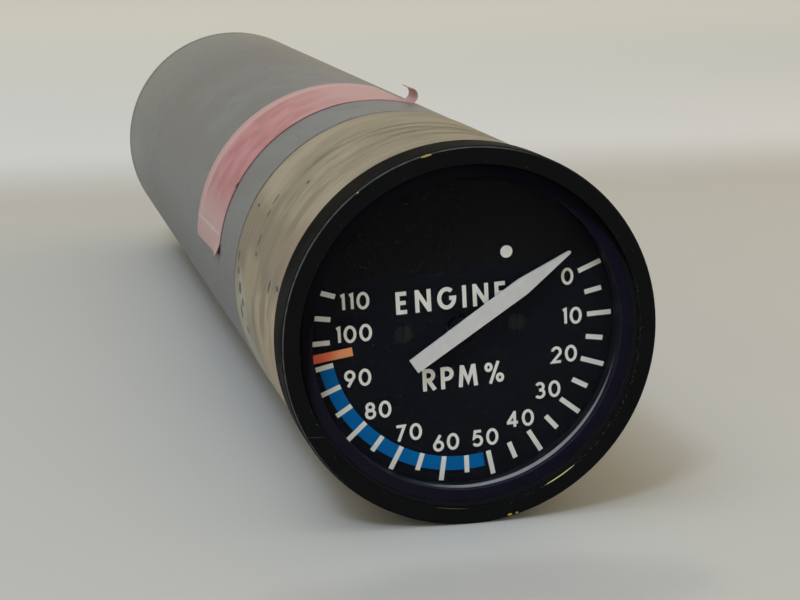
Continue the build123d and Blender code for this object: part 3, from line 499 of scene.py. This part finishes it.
# Darkest and lightest colour, smallest and greatest roughness, grain, and values set on the shader itself
PLAIN_FINISHES = {
    "rubber": ((0.10, 0.10, 0.10), (0.16, 0.16, 0.155), (0.6, 0.8), (1, 1, 1), {}),
    "print_white": (
        (0.865, 0.855, 0.82), (0.92, 0.91, 0.87), (0.6, 0.7), (1, 1, 1), {"Specular_IOR_Level": 0.2}),
    "print_blue": (
        (0.0, 0.36, 0.60), (0.0, 0.40, 0.66), (0.55, 0.65), (2, 2, 2), {"Specular_IOR_Level": 0.05}),
    "black_screw": (
        (0.090, 0.090, 0.088), (0.125, 0.125, 0.122), (0.45, 0.55), (0.5, 0.5, 0.5), {"IOR": 1.2}),
    "pointer_paint": ((0.772, 0.762, 0.748), (0.832, 0.82, 0.805), (0.5, 0.6), (1.5, 1.5, 1.5), {}),
    "hub_paint": ((0.03, 0.03, 0.05), (0.05, 0.05, 0.08), (0.2, 0.3), (2, 2, 2), {"IOR": 1.15}),
    "plate_metal": ((0.70, 0.70, 0.70), (0.80, 0.80, 0.79), (0.3, 0.45), (0.5, 2, 8), {"Metallic": 1.0}),
    "brass": ((0.78, 0.62, 0.34), (0.88, 0.74, 0.44), (0.25, 0.4), (2, 0.4, 2), {"Metallic": 1.0}),
    "steel": ((0.62, 0.62, 0.63), (0.74, 0.74, 0.75), (0.25, 0.4), (3, 0.3, 3), {"Metallic": 1.0}),
    "motor_case": ((0.60, 0.60, 0.61), (0.70, 0.70, 0.71), (0.35, 0.5), (6, 0.5, 6), {"Metallic": 1.0}),
    "pot_case": ((0.36, 0.38, 0.43), (0.44, 0.46, 0.52), (0.35, 0.5), (3, 0.5, 3), {"Metallic": 0.7}),
    "board": ((0.34, 0.42, 0.22), (0.42, 0.50, 0.28), (0.35, 0.5), (0.8, 0.8, 0.8), {}),
    "capacitor": ((0.55, 0.22, 0.10), (0.64, 0.28, 0.13), (0.25, 0.4), (3, 3, 3), {}),
    "transistor": ((0.68, 0.68, 0.66), (0.78, 0.78, 0.76), (0.25, 0.35), (2, 0.5, 2), {"Metallic": 1.0}),
    "resistor": ((0.55, 0.46, 0.30), (0.64, 0.55, 0.38), (0.35, 0.5), (1, 1, 1), {}),
    "core": ((0.22, 0.20, 0.18), (0.32, 0.30, 0.27), (0.4, 0.55), (8, 0.35, 8), {}),
    "coil": ((0.52, 0.36, 0.14), (0.62, 0.45, 0.20), (0.3, 0.45), (4, 0.8, 4), {}),
    "connector_metal": (
        (0.50, 0.50, 0.46), (0.60, 0.60, 0.56), (0.35, 0.5), (4, 0.5, 4), {"Metallic": 0.9}),
    "insert": ((0.09, 0.09, 0.09), (0.13, 0.13, 0.13), (0.5, 0.65), (2, 2, 2), {}),
    "contact": ((0.85, 0.70, 0.36), (0.92, 0.79, 0.47), (0.2, 0.3), (1, 0.3, 1), {"Metallic": 1.0}),
}


def plain_finish(name, dark, light, rough, grain, plain):
    """A finish whose colour and roughness drift between two values, with a fine relief."""
    finish = Finish(name, screen(*light), **plain)
    drift = finish.noise(grain)
    finish.colour(finish.mix(drift, screen(*dark), screen(*light)))
    finish.roughness(drift, *rough)
    finish.bump(finish.noise([size / 3 for size in grain]), 0.005, 0.6)


bezel_paint()
seat_metal()
can_paint()
mask_anodise()
reflector_metal()
ring_paint()
dial_paint()
print_red()
tape_red()
floor_paint()
glass()
for slot, values in PLAIN_FINISHES.items():
    plain_finish(slot, *values)


def grid_faces(rows, columns, wrap_rows=False, wrap_columns=False):
    """Four-sided faces between neighbours on a grid; a wrapped way joins its last line to its first."""
    index = np.arange(rows * columns).reshape(rows, columns)
    if wrap_rows:
        index = np.vstack([index, index[:1]])
    if wrap_columns:
        index = np.hstack([index, index[:, :1]])
    corners = (index[:-1, :-1], index[1:, :-1], index[1:, 1:], index[:-1, 1:])
    return np.stack(corners, axis=-1).reshape(-1, 4).tolist()


def outward(points, faces):
    """The closed form with its faces pointing out: turned over where its volume comes out below zero."""
    fans = np.array([(face[0], face[k], face[k + 1]) for face in faces for k in range(1, len(face) - 1)])
    a, b, c = (points[fans[:, k]] for k in range(3))
    if (np.cross(a, b) * c).sum() < 0:
        faces = [face[::-1] for face in faces]
    return points, faces


def piece(name, forms, finish, body="case", smooth_below=None):
    """One object from closed forms (points in millimetres, faces), riding on a CAD body."""
    points, faces, count = [], [], 0
    for form in forms:
        form_points, form_faces = outward(*form)
        points.append(form_points)
        faces += [[corner + count for corner in face] for face in form_faces]
        count += len(form_points)
    mesh = bpy.data.meshes.new(name)
    mesh.from_pydata(np.vstack(points) * MM, [], faces)
    if smooth_below:
        mesh.polygons.foreach_set("use_smooth", np.ones(len(mesh.polygons), bool))
        mesh.set_sharp_from_angle(angle=math.radians(smooth_below))
    mesh.materials.append(MATERIALS[finish])
    thing = bpy.data.objects.new(name, mesh)
    bpy.context.scene.collection.objects.link(thing)
    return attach(thing, body)


MITRE_LEAST = 0.45           # keeps the outer corner short where a path turns sharply


def band(path, width, front, back, closed=False):
    """A flat band of paint: a box section carried along a path of (x, z). Both sides lie half the width off
    the path, along the line that halves the angle between its runs."""
    path = np.asarray(path, float)
    ahead = np.roll(path, -1, axis=0) - path
    behind = path - np.roll(path, 1, axis=0)
    if not closed:
        ahead[-1], behind[0] = behind[-1], ahead[0]
    ahead /= np.linalg.norm(ahead, axis=1, keepdims=True)
    behind /= np.linalg.norm(behind, axis=1, keepdims=True)
    middle = ahead + behind
    middle /= np.linalg.norm(middle, axis=1, keepdims=True)
    reach = width / 2 / np.clip((middle * ahead).sum(axis=1, keepdims=True), MITRE_LEAST, 1)
    side = reach * np.stack([-middle[:, 1], middle[:, 0]], axis=1)
    section = []
    for flat, y in ((path + side, back), (path + side, front), (path - side, front), (path - side, back)):
        section.append(np.stack([flat[:, 0], np.full(len(flat), y), flat[:, 1]], axis=1))
    points = np.stack(section, axis=1).reshape(-1, 3)
    faces = grid_faces(len(path), 4, wrap_rows=closed, wrap_columns=True)
    if not closed:
        last = 4 * (len(path) - 1)
        faces += [[3, 2, 1, 0], [last, last + 1, last + 2, last + 3]]
    return points, faces


def arc(x, z, across, up, start, end, steps=24):
    """Points on an ellipse of these half sizes round (x, z), from one angle to another."""
    turn = np.radians(np.linspace(start, end, steps + 1))
    return np.stack([x + across * np.cos(turn), z + up * np.sin(turn)], axis=1)


def ring(x, z, across, up):
    """A closed ellipse of points."""
    return arc(x, z, across, up, 0, 360, 32)[:-1]


# Figures and letters: width, then strokes (points, closed) on middle lines two units high, centred
FIGURES = {
    "0": (1.35, [(ring(0, 0, 0.675, 1), True)]),
    "1": (0.38, [([(-0.17, 0.88), (0.19, 1.0), (0.19, -1.0)], False)]),
    "2": (1.25, [([*arc(0, 0.42, 0.57, 0.58, 168, -32), (-0.58, -1.0), (0.62, -1.0)], False)]),
    "3": (1.2, [
        ([*arc(-0.03, 0.50, 0.50, 0.50, 152, -75), (-0.14, 0.03)], False),
        ([(-0.14, 0.03), *arc(-0.05, -0.45, 0.60, 0.55, 75, -148)], False),
    ]),
    "4": (1.4, [
        ([(-0.74, -0.47), (0.26, 0.98)], False),
        ([(-0.86, -0.47), (0.72, -0.47)], False),
        ([(0.26, 1.16), (0.26, -1.1)], False),
    ]),
    "5": (1.25, [
        ([(0.52, 1.0), (-0.34, 1.0), (-0.50, 0.10), *arc(-0.06, -0.36, 0.62, 0.64, 112, -148)], False),
    ]),
    "6": (1.2, [(ring(0, -0.40, 0.58, 0.60), True), ([(0.30, 1.12), (-0.50, -0.14)], False)]),
    "7": (1.2, [([(-0.60, 1.0), (0.52, 1.0), (-0.38, -1.12)], False)]),
    "8": (1.15, [(ring(0, 0.50, 0.47, 0.50), True), (ring(0, -0.45, 0.57, 0.55), True)]),
    "9": (1.2, [(ring(0, 0.40, 0.58, 0.60), True), ([(-0.30, -1.12), (0.50, 0.14)], False)]),
    "E": (0.95, [
        ([(0.48, 1.0), (-0.48, 1.0), (-0.48, -1.0), (0.48, -1.0)], False),
        ([(-0.48, 0.0), (0.38, 0.0)], False),
    ]),
    "N": (1.3, [
        ([(-0.65, -1.22), (-0.65, 1.22)], False),
        ([(-0.66, 1.1), (0.66, -1.1)], False),
        ([(0.65, 1.22), (0.65, -1.22)], False),
    ]),
    "G": (1.6, [([*arc(0, 0, 0.82, 1.0, 48, 360), (0.28, 0.0)], False)]),
    "I": (0.0, [([(0, 1.22), (0, -1.22)], False)]),
    "R": (1.1, [
        ([(-0.5, -1.22), (-0.5, 1.2)], False),
        ([(-0.5, 1.0), (-0.05, 1.0), *arc(-0.05, 0.48, 0.52, 0.52, 80, -90, 12), (-0.5, -0.04)], False),
        ([(-0.1, -0.04), (0.60, -1.16)], False),
    ]),
    "P": (1.1, [
        ([(-0.5, -1.22), (-0.5, 1.2)], False),
        ([(-0.5, 1.0), (-0.05, 1.0), *arc(-0.05, 0.44, 0.56, 0.56, 80, -90, 12), (-0.5, -0.12)], False),
    ]),
    "M": (1.7, [
        ([(-0.86, -1.22), (-0.64, 1.2)], False),
        ([(-0.62, 1.1), (0.0, -0.62), (0.62, 1.1)], False),
        ([(0.86, -1.22), (0.64, 1.2)], False),
    ]),
    "%": (1.9, [
        (ring(-0.62, 0.62, 0.30, 0.36), True),
        (ring(0.62, -0.62, 0.30, 0.36), True),
        ([(0.48, 1.22), (-0.48, -1.22)], False),
    ]),
}

PRINT_FRONT = DIAL_FRONT - 0.03
PRINT_BACK = DIAL_FRONT + 0.02
STROKE_STEP = 0.003          # crossing strokes differ by this in height, so that no two faces share a plane


def text_width(text, unit, stroke, gap):
    """Width of a line of figures or letters from its first edge to its last."""
    return sum(FIGURES[letter][0] * unit + stroke for letter in text) + gap * (len(text) - 1)


def text_forms(text, x, z, unit, stroke, gap):
    """Bands for a line of figures or letters, centred on (x, z)."""
    forms = []
    left = x - text_width(text, unit, stroke, gap) / 2
    for letter in text:
        width, strokes = FIGURES[letter]
        middle = left + (width * unit + stroke) / 2
        for number, (points, closed) in enumerate(strokes):
            moved = np.asarray(points, float) * unit + (middle, z)
            forms.append(band(moved, stroke, PRINT_FRONT - STROKE_STEP * number, PRINT_BACK, closed))
        left += width * unit + stroke + gap
    return forms


# The scale: 20 degrees for each ten, clockwise from 20 degrees above the right
SCALE_END = 110
SCALE_START = 20.0
DEGREES_PER_UNIT = 2.0
TICK_INNER = 18.14
LONG_TICK = 21.6
SHORT_TICK = 20.6
TICK_WIDTH = 0.68
FIGURE_GAP = 0.77
FIGURE_STROKE = 0.40
FIGURE_SPACE = 0.40
BLUE_FROM, BLUE_TO = 51.3, 95.0
BLUE_OUTER = 20.1
RED_AT = 97.05
RED_FROM_R, RED_TO_R = 15.2, 20.7
RED_WIDTH = 1.2
HUNDRED_RAISED = 0.85
TICK_PROUD, BAR_PROUD = 0.01, 0.02


def scale_point(radius, value):
    """Place on the dial of a scale value at this radius."""
    angle = math.radians(SCALE_START - DEGREES_PER_UNIT * value)
    return np.array([radius * math.cos(angle), radius * math.sin(angle)])


def scale_marks():
    """The white ticks, every five units, long at the tens."""
    forms = []
    for value in range(0, SCALE_END + 1, 5):
        outer = LONG_TICK if value % 10 == 0 else SHORT_TICK
        path = [scale_point(TICK_INNER, value), scale_point(outer, value)]
        forms.append(band(path, TICK_WIDTH, PRINT_FRONT - TICK_PROUD, PRINT_BACK))
    return piece("scale_marks", forms, "print_white")


def scale_numbers():
    """The numbers inside the ticks, upright, each clear of its tick by the same gap."""
    forms = []
    for value in range(0, SCALE_END + 1, 10):
        text = str(value)
        across, up = scale_point(1, value)
        half_width = text_width(text, 1.0, FIGURE_STROKE, FIGURE_SPACE) / 2
        half_height = 1.0 + FIGURE_STROKE / 2
        reach = TICK_INNER - FIGURE_GAP - math.hypot(half_width * across, half_height * up)
        raised = HUNDRED_RAISED if value == 100 else 0.0
        forms += text_forms(text, reach * across, reach * up + raised, 1.0, FIGURE_STROKE, FIGURE_SPACE)
    return piece("scale_numbers", forms, "print_white")


def blue_band():
    """The blue working range: a band carried along an arc under the ticks."""
    middle = (TICK_INNER + BLUE_OUTER) / 2
    start, end = (SCALE_START - DEGREES_PER_UNIT * value for value in (BLUE_FROM, BLUE_TO))
    path = arc(0, 0, middle, middle, start, end, 64)
    return piece("blue_range", [band(path, BLUE_OUTER - TICK_INNER, PRINT_FRONT, PRINT_BACK)], "print_blue")


def red_bar():
    """The red limit bar across the scale."""
    path = [scale_point(RED_FROM_R, RED_AT), scale_point(RED_TO_R, RED_AT)]
    return piece("red_limit", [band(path, RED_WIDTH, PRINT_FRONT - BAR_PROUD, PRINT_BACK)], "print_red")


LETTER_UNIT = 1.27
LETTER_STROKE = 0.56
PERCENT_STROKE = 0.42
WORD_SPACE, UNIT_SPACE = 0.9, 0.6
WORD_PLACE = (-1.0, 4.36)
UNIT_PLACE = (-1.8, -6.75)
PERCENT_PLACE = (4.5, -6.75)


def dial_words():
    """The plain legends over and under the middle of the dial."""
    word = text_forms("ENGINE", *WORD_PLACE, LETTER_UNIT, LETTER_STROKE, WORD_SPACE)
    unit = text_forms("RPM", *UNIT_PLACE, LETTER_UNIT, LETTER_STROKE, UNIT_SPACE)
    percent = text_forms("%", *PERCENT_PLACE, LETTER_UNIT, PERCENT_STROKE, UNIT_SPACE)
    return piece("dial_words", word + unit + percent, "print_white")


DOT_CIRCLE = 12.12
DOT_ANGLE = 55.2
DOT_R = 0.85


def round_dot():
    """The white dot near the top of the dial: a thin round plate."""
    angle = math.radians(DOT_ANGLE)
    x, z = DOT_CIRCLE * math.cos(angle), DOT_CIRCLE * math.sin(angle)
    rim = ring(x, z, DOT_R, DOT_R)
    count = len(rim)
    front = np.stack([rim[:, 0], np.full(count, PRINT_FRONT), rim[:, 1]], axis=1)
    back = front + (0, PRINT_BACK - PRINT_FRONT, 0)
    faces = grid_faces(2, count, wrap_columns=True)
    faces += [list(range(count)), list(range(2 * count - 1, count - 1, -1))]
    return piece("white_dot", [(np.vstack([front, back]), faces)], "print_white")


# The tape in two strips: a narrow tab along its front that curls up at the upper end, and the rest
TAPE_THICK = 0.12
TAPE_GAP = 0.005
TAPE_START, TAB_START = 73.0, 64.0
TAPE_END = 175.0
TAPE_SKEW = 2.2              # degrees by which the low end's rear corner lies beyond its front corner
TAB_SHARE = 0.22
CURL_FROM = 73.5
CURL_R = 1.25
CORNER_OFF = 0.8             # the low front corner stands off the can by this
CORNER_LONG, CORNER_WIDE = 0.05, 0.3
TAPE_COLUMNS = 241
TAPE_ROWS = 60


def tape_strip(low, high, start, curl):
    """One closed strip of the tape: u runs round it from its upper end, v from front to rear between two
    shares of the width. Beyond CURL_FROM a curled strip leaves the can and follows a circle of radius r:
    over a length s it runs r sin(s / r) along the tangent and r (1 - cos(s / r)) out."""
    columns, rows = TAPE_COLUMNS, 2 + round(TAPE_ROWS * (high - low))
    u, v = np.meshgrid(np.linspace(0, 1, columns), np.linspace(low, high, rows), indexing="ij")
    angle = start + (TAPE_END + TAPE_SKEW * v - start) * u
    y = TAPE_FRONT + (TAPE_REAR - TAPE_FRONT) * v
    length = np.radians(np.clip(CURL_FROM - angle, 0, None)) * CAN_R * curl
    inward = np.hypot((1 - u) / CORNER_LONG, v / CORNER_WIDE)
    corner = np.clip(1 - inward, 0, 1) ** 1.5 * CORNER_OFF

    def skin(height):
        """The strip's points at this height above its underside."""
        turn = np.radians(angle) + length / CAN_R
        radius = CAN_R + TAPE_GAP + corner + height
        lean = length / CURL_R
        along, out = (CURL_R - height) * np.sin(lean), (CURL_R - height) * (1 - np.cos(lean))
        x = (radius + out) * np.cos(turn) + along * np.sin(turn)
        z = (radius + out) * np.sin(turn) - along * np.cos(turn)
        return np.stack([x, y, z], axis=-1).reshape(-1, 3)

    count = columns * rows
    sheet = grid_faces(columns, rows)
    faces = sheet + [[corner + count for corner in face[::-1]] for face in sheet]
    index = np.arange(count).reshape(columns, rows)
    rim = np.concatenate([index[:, 0], index[-1, 1:], index[-2::-1, -1], index[0, -2:0:-1]])
    following = np.roll(rim, -1)
    faces += np.stack([rim, rim + count, following + count, following], axis=1).tolist()
    return np.vstack([skin(TAPE_THICK), skin(0.0)]), faces


def red_tape():
    """The tape, with a narrow tab torn from its upper end's front that has curled up."""
    main = tape_strip(TAB_SHARE, 1.0, TAPE_START, 0.0)
    tab = tape_strip(0.0, TAB_SHARE, TAB_START, 1.0)
    tape = piece("red_tape", [main, tab], "tape_red", smooth_below=40)
    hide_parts("tape")


scale_marks()
scale_numbers()
blue_band()
red_bar()
dial_words()
round_dot()
red_tape()

NODE_SLOTS = {row["node"]: row["material_slot"] for row in frame["record"]["subparts"]}
for name, node in frame["nodes"].items():
    node.data.materials.clear()
    node.data.materials.append(MATERIALS[NODE_SLOTS[name]])


def floor():
    """A level square floor."""
    side = np.linspace(-FLOOR_REACH, FLOOR_REACH, FLOOR_LINES)
    x, y = np.meshgrid(side, side, indexing="ij")
    points = np.stack([x, y, np.full_like(x, FLOOR_LEVEL)], axis=-1).reshape(-1, 3) * MM
    mesh = bpy.data.meshes.new("floor")
    mesh.from_pydata(points, [], [face[::-1] for face in grid_faces(FLOOR_LINES, FLOOR_LINES)])
    mesh.materials.append(MATERIALS["floor_paint"])
    sheet = bpy.data.objects.new("floor", mesh)
    sheet.matrix_world = Vector((0, 0, 1)).rotation_difference(FLOOR_UP).to_matrix().to_4x4()
    bpy.context.scene.collection.objects.link(sheet)


# Name, place and the point it faces (metres), size, power and colour
LAMPS = [
    ("window", (-0.30, -0.42, 0.68), (0, 0, 0), 0.14, 2.0, (0.70, 0.85, 1.0)),
    ("ceiling", (-0.23, -0.10, 0.74), (0, 0.05, 0), 0.5, 1.9, (0.84, 0.91, 1.0)),
    ("warm", (0.50, 0.20, 0.26), (0.03, 0.03, -0.02), 0.3, 0.45, (1.0, 0.69, 0.27)),
    ("front", (-0.12, -1.0, 0.26), (0, 0, 0), 0.5, 0.60, (1.0, 0.97, 0.92)),
]
WORLD_COLOUR = (1.0, 0.915, 0.71, 1)
WORLD_STRENGTH = 0.60
CAMERA_PLACE = (-0.06160, -0.23040, 0.06103)
PICTURE_RIGHT = (0.97012, -0.23690, -0.05245)
PICTURE_UP = (0.10436, 0.21223, 0.97163)
LENS = 81.72


def lamp(name, place, aim, size, power, colour):
    """A square soft lamp at a place, facing a point."""
    light = bpy.data.lights.new(name, "AREA")
    light.size = size
    light.energy = power
    light.color = colour
    thing = bpy.data.objects.new(name, light)
    thing.location = place
    thing.rotation_euler = (Vector(aim) - Vector(place)).to_track_quat("-Z", "Y").to_euler()
    bpy.context.scene.collection.objects.link(thing)


def surroundings():
    """An even pale world."""
    world = bpy.data.worlds.new("surroundings")
    world.use_nodes = True
    background = world.node_tree.nodes["Background"]
    background.inputs["Color"].default_value = WORLD_COLOUR
    background.inputs["Strength"].default_value = WORLD_STRENGTH
    bpy.context.scene.world = world


def camera():
    """The photograph's viewing angle."""
    right = Vector(PICTURE_RIGHT)
    up = Vector(PICTURE_UP)
    turn = Matrix((right, up, right.cross(up))).transposed().to_4x4()
    data = bpy.data.cameras.new("camera")
    data.lens = LENS
    data.sensor_width = 36.0
    data.clip_start = 0.01
    data.clip_end = 10.0
    thing = bpy.data.objects.new("camera", data)
    thing.matrix_world = Matrix.Translation(CAMERA_PLACE) @ turn
    bpy.context.scene.collection.objects.link(thing)
    bpy.context.scene.camera = thing


floor()
for values in LAMPS:
    lamp(*values)
surroundings()
camera()
bpy.context.scene.view_settings.view_transform = "Standard"
